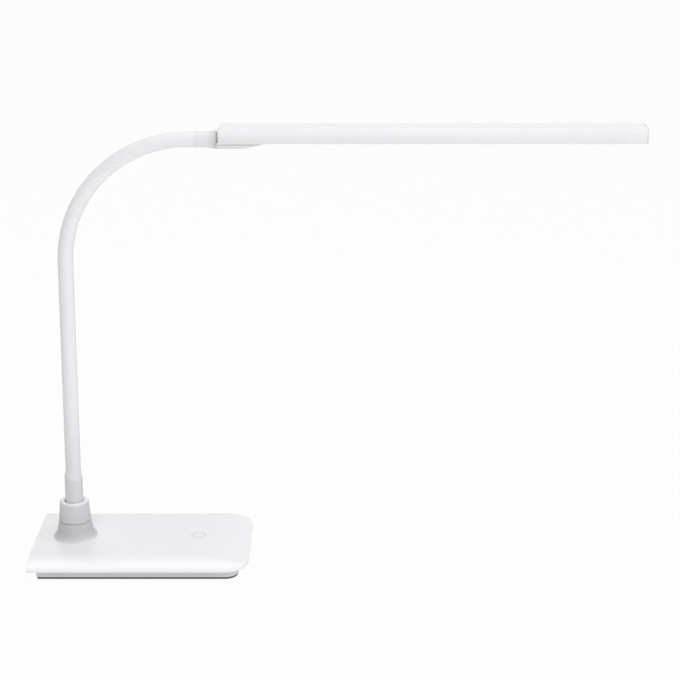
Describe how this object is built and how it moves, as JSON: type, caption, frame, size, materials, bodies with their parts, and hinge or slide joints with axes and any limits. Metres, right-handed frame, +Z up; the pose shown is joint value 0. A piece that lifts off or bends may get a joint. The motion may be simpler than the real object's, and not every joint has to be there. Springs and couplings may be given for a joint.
{
  "type": "desk lamp",
  "caption": "Folding LED desk lamp with a weighted touch base, a swivelling flexible neck that bends and folds, and a long slim light bar that rolls on the neck's end.",
  "frame": {"origin": "centre of the base's length and width, on the underside of the rubber foot, where it meets the table", "axes": "+X along the light bar towards its free end, +Y across the base, away from the picture's viewer, +Z up; -Z leaves the foot"},
  "size_m": [0.5906, 0.134, 0.4343],
  "materials": {
    "white_gloss": "moulded gloss white",
    "bar_trim": "moulded white",
    "plinth_grey": "moulded satin light grey",
    "foot_rubber": "dark non-slip rubber",
    "boot_grey": "fine matte very light grey",
    "neck_silicone": "smooth matte white silicone",
    "end_boot": "matte white",
    "mark_grey": "printed pale grey",
    "weight_iron": "blackened plate",
    "core_steel": "wound steel",
    "core_tube": "wound steel",
    "hardware": "zinc plated",
    "bearing": "turned acetal",
    "board_green": "solder mask",
    "board_black": "moulded component cases",
    "led_board_white": "white coated circuit board",
    "led_yellow": "phosphor",
    "diffuser_opal": "opal satin"
  },
  "bodies": {
    "base": {"base_shell": "white_gloss", "base_tray": "plinth_grey", "foot_pad": "foot_rubber", "counterweight": "weight_iron", "weight_screws": "hardware", "tray_screws": "hardware", "control_board": "board_green", "board_parts": "board_black", "base_lead": "board_black", "touch_spring": "hardware", "power_mark": "mark_grey", "dc_jack": "board_black", "pivot_boot": "boot_grey", "boot_screws": "hardware", "swivel_bush": "bearing"},
    "arm": {"thrust_washer": "bearing", "swivel_post": "core_steel", "stop_washer": "hardware", "wave_washer": "hardware", "swivel_nut": "hardware", "swivel_collar": "boot_grey", "neck_ferrule": "boot_grey", "neck_sleeve": "neck_silicone", "neck_lead": "board_black"},
    "link_01": {"neck_link_01": "core_tube"},
    "link_02": {"neck_link_02": "core_tube"},
    "link_03": {"neck_link_03": "core_tube"},
    "link_04": {"neck_link_04": "core_tube"},
    "link_05": {"neck_link_05": "core_tube"},
    "link_06": {"neck_link_06": "core_tube"},
    "link_07": {"neck_link_07": "core_tube"},
    "link_08": {"neck_link_08": "core_tube"},
    "link_09": {"neck_link_09": "core_tube"},
    "link_10": {"neck_link_10": "core_tube"},
    "link_11": {"neck_link_11": "core_tube"},
    "link_12": {"neck_link_12": "core_tube"},
    "link_13": {"neck_link_13": "core_tube"},
    "link_14": {"neck_link_14": "core_tube"},
    "link_15": {"neck_link_15": "core_tube"},
    "neck_end": {"neck_end_fitting": "core_steel", "neck_end_boot": "end_boot", "roll_clip": "hardware"},
    "head": {"roll_bush": "bearing", "head_bracket": "end_boot", "bracket_screws": "hardware", "bar_housing": "white_gloss", "rear_cover": "bar_trim", "near_cap": "white_gloss", "far_cap": "white_gloss", "led_board": "led_board_white", "leds": "led_yellow", "diffuser": "diffuser_opal"}
  },
  "joints": [
    {"name": "arm_swivel", "type": "hinge", "parent": "base", "child": "arm", "pos_m": [-0.0684, 0, 0.037], "axis": [0, 0, 1], "range_deg": [-170, 170]},
    {"name": "neck_lower_bend", "type": "hinge", "parent": "arm", "child": "link_01", "pos_m": [-0.06765, 0, 0.09929], "axis": [0, 1, 0], "range_deg": [-9, 5], "deforming": ["neck_sleeve", "neck_lead"]},
    {"name": "neck_side_bend", "type": "hinge", "parent": "link_01", "child": "link_02", "pos_m": [-0.06731, 0, 0.12479], "axis": [0.9999, 0, -0.0133], "range_deg": [-9, 9], "deforming": ["neck_sleeve", "neck_lead"]},
    {"name": "neck_lower_bend_2", "type": "hinge", "parent": "link_02", "child": "link_03", "pos_m": [-0.06698, 0, 0.15029], "axis": [0, 1, 0], "range_deg": [-9, 5], "deforming": ["neck_sleeve", "neck_lead"]},
    {"name": "neck_side_bend_2", "type": "hinge", "parent": "link_03", "child": "link_04", "pos_m": [-0.06664, 0, 0.17579], "axis": [0.9999, 0, -0.0133], "range_deg": [-9, 9], "deforming": ["neck_sleeve", "neck_lead"]},
    {"name": "neck_lower_bend_3", "type": "hinge", "parent": "link_04", "child": "link_05", "pos_m": [-0.0663, 0, 0.20129], "axis": [0, 1, 0], "range_deg": [-9, 5], "deforming": ["neck_sleeve", "neck_lead"]},
    {"name": "neck_side_bend_3", "type": "hinge", "parent": "link_05", "child": "link_06", "pos_m": [-0.06596, 0, 0.22678], "axis": [0.9999, 0, -0.0133], "range_deg": [-9, 9], "deforming": ["neck_sleeve", "neck_lead"]},
    {"name": "neck_lower_bend_4", "type": "hinge", "parent": "link_06", "child": "link_07", "pos_m": [-0.06562, 0, 0.25228], "axis": [0, 1, 0], "range_deg": [-9, 5], "deforming": ["neck_sleeve", "neck_lead"]},
    {"name": "neck_side_bend_4", "type": "hinge", "parent": "link_07", "child": "link_08", "pos_m": [-0.06529, 0, 0.27778], "axis": [0.9999, 0, -0.0133], "range_deg": [-9, 9], "deforming": ["neck_sleeve", "neck_lead"]},
    {"name": "neck_upper_bend", "type": "hinge", "parent": "link_08", "child": "link_09", "pos_m": [-0.06495, 0, 0.30328], "axis": [0, 1, 0], "range_deg": [-10, 4.5], "deforming": ["neck_sleeve", "neck_lead"]},
    {"name": "neck_upper_bend_2", "type": "hinge", "parent": "link_09", "child": "link_10", "pos_m": [-0.06166, 0, 0.32956], "axis": [0, 1, 0], "range_deg": [-10, 4.5], "deforming": ["neck_sleeve", "neck_lead"]},
    {"name": "neck_upper_bend_3", "type": "hinge", "parent": "link_10", "child": "link_11", "pos_m": [-0.05265, 0, 0.35447], "axis": [0, 1, 0], "range_deg": [-10, 4.5], "deforming": ["neck_sleeve", "neck_lead"]},
    {"name": "neck_upper_bend_4", "type": "hinge", "parent": "link_11", "child": "link_12", "pos_m": [-0.03836, 0, 0.37678], "axis": [0, 1, 0], "range_deg": [-10, 4.5], "deforming": ["neck_sleeve", "neck_lead"]},
    {"name": "neck_upper_bend_5", "type": "hinge", "parent": "link_12", "child": "link_13", "pos_m": [-0.01951, 0, 0.39539], "axis": [0, 1, 0], "range_deg": [-10, 4.5], "deforming": ["neck_sleeve", "neck_lead"]},
    {"name": "neck_upper_bend_6", "type": "hinge", "parent": "link_13", "child": "link_14", "pos_m": [0.00299, 0, 0.40938], "axis": [0, 1, 0], "range_deg": [-10, 4.5], "deforming": ["neck_sleeve", "neck_lead"]},
    {"name": "neck_upper_bend_7", "type": "hinge", "parent": "link_14", "child": "link_15", "pos_m": [0.02802, 0, 0.41805], "axis": [0, 1, 0], "range_deg": [-10, 4.5], "deforming": ["neck_sleeve", "neck_lead"]},
    {"name": "neck_upper_bend_8", "type": "hinge", "parent": "link_15", "child": "neck_end", "pos_m": [0.05434, 0, 0.42099], "axis": [0, 1, 0], "range_deg": [-10, 4.5], "deforming": ["neck_sleeve", "neck_lead"]},
    {"name": "head_roll", "type": "hinge", "parent": "neck_end", "child": "head", "pos_m": [0.08054, 0, 0.42099], "axis": [1, 0, 0], "range_deg": [-90, 90], "deforming": ["neck_lead"]}
  ],
  "couplings": [
    {"joint": "neck_lower_bend_2", "follows": "neck_lower_bend", "ratio": 1},
    {"joint": "neck_side_bend_2", "follows": "neck_side_bend", "ratio": 1},
    {"joint": "neck_lower_bend_3", "follows": "neck_lower_bend", "ratio": 1},
    {"joint": "neck_side_bend_3", "follows": "neck_side_bend", "ratio": 1},
    {"joint": "neck_lower_bend_4", "follows": "neck_lower_bend", "ratio": 1},
    {"joint": "neck_side_bend_4", "follows": "neck_side_bend", "ratio": 1},
    {"joint": "neck_upper_bend_2", "follows": "neck_upper_bend", "ratio": 1},
    {"joint": "neck_upper_bend_3", "follows": "neck_upper_bend", "ratio": 1},
    {"joint": "neck_upper_bend_4", "follows": "neck_upper_bend", "ratio": 1},
    {"joint": "neck_upper_bend_5", "follows": "neck_upper_bend", "ratio": 1},
    {"joint": "neck_upper_bend_6", "follows": "neck_upper_bend", "ratio": 1},
    {"joint": "neck_upper_bend_7", "follows": "neck_upper_bend", "ratio": 1},
    {"joint": "neck_upper_bend_8", "follows": "neck_upper_bend", "ratio": 1}
  ]
}
